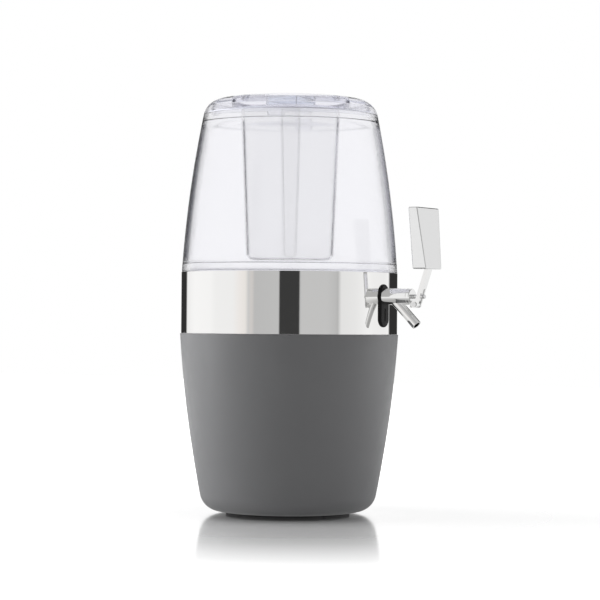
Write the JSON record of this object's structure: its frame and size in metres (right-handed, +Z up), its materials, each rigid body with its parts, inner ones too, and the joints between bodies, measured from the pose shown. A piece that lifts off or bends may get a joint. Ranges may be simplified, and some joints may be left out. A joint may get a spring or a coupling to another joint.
{
  "type": "drink dispenser",
  "caption": "Barrel-shaped drink dispenser: clear dome tank with a hanging ice tube and lift-off lid, polished band, grey stand and a front lever tap.",
  "frame": {"origin": "on the main axis, at the foot plane that the object rests on", "axes": "+Z up along the main axis, the tap points along -Y, +X to the right seen from the tap's side"},
  "size_m": [0.2178, 0.2725, 0.4145],
  "materials": {
    "stand_grey": "satin, fine moulded grain",
    "foot_rubber": "dull",
    "base_plastic": "smooth, semi-matt",
    "band_steel": "mirror-polished sheet steel",
    "clear_silicone": "soft, translucent",
    "clear_plastic": "clear, polished",
    "lid_plastic": "clear, polished",
    "tube_plastic": "clear with a slight haze",
    "cap_plastic": "clear, polished",
    "core_plastic": "translucent",
    "grip_plastic": "clear with a slight blue",
    "black_plastic": "glossy black",
    "tap_chrome": "bright chrome",
    "spout_chrome": "bright chrome",
    "black_rubber": "dull",
    "nut_steel": "brushed",
    "bonnet_chrome": "bright chrome",
    "pin_steel": "polished",
    "spring_steel": "drawn wire",
    "stem_steel": "ground",
    "lever_chrome": "bright chrome",
    "paddle_chromed": "chromed plastic, satin bright"
  },
  "bodies": {
    "stand": {"stand_shell": "stand_grey", "foot_ring": "foot_rubber"},
    "tank": {"tank_base": "base_plastic", "chrome_band": "band_steel", "dome_seal": "clear_silicone", "clear_dome": "clear_plastic", "tap_escutcheon": "black_plastic", "tap_body": "tap_chrome", "spout_tube": "spout_chrome", "tap_washer": "black_rubber", "tap_nut": "nut_steel", "tap_bonnet": "bonnet_chrome", "stem_seal": "black_rubber", "lever_pin": "pin_steel", "valve_spring": "spring_steel"},
    "lid": {"lid_cover": "lid_plastic", "lid_gasket": "clear_silicone"},
    "tube": {"ice_tube": "tube_plastic", "tube_gasket": "clear_silicone"},
    "cap": {"ice_cap": "cap_plastic", "cap_ring": "clear_silicone", "ice_core": "core_plastic", "grip_block": "grip_plastic"},
    "valve": {"valve_stem": "stem_steel", "stem_pin": "pin_steel", "valve_plug": "black_rubber"},
    "lever": {"lever_bar": "lever_chrome", "lever_paddle": "paddle_chromed"}
  },
  "joints": [
    {"name": "tank_lift", "type": "slide", "parent": "stand", "child": "tank", "axis": [0, 0, 1], "range_m": [0, 0.06]},
    {"name": "lid_lift", "type": "slide", "parent": "tank", "child": "lid", "axis": [0, 0, 1], "range_m": [0, 0.16]},
    {"name": "ice_tube_lift", "type": "slide", "parent": "lid", "child": "tube", "axis": [0, 0, 1], "range_m": [0, 0.16]},
    {"name": "ice_cap_lift", "type": "slide", "parent": "tube", "child": "cap", "axis": [0, 0, 1], "range_m": [0, 0.16]},
    {"name": "lever_pull", "type": "hinge", "parent": "tank", "child": "lever", "pos_m": [0, -0.1445, 0.2085], "axis": [1, 0, 0], "range_deg": [0, 25], "stiffness_Nm_per_rad": 0.3, "springref_deg": -8.59},
    {"name": "valve_slide", "type": "slide", "parent": "tank", "child": "valve", "axis": [0, -1, 0], "range_m": [0, 0.0061], "deforming": ["valve_spring"]}
  ],
  "couplings": [
    {"joint": "valve_slide", "follows": "lever_pull", "m_per_rad": 0.01393}
  ]
}
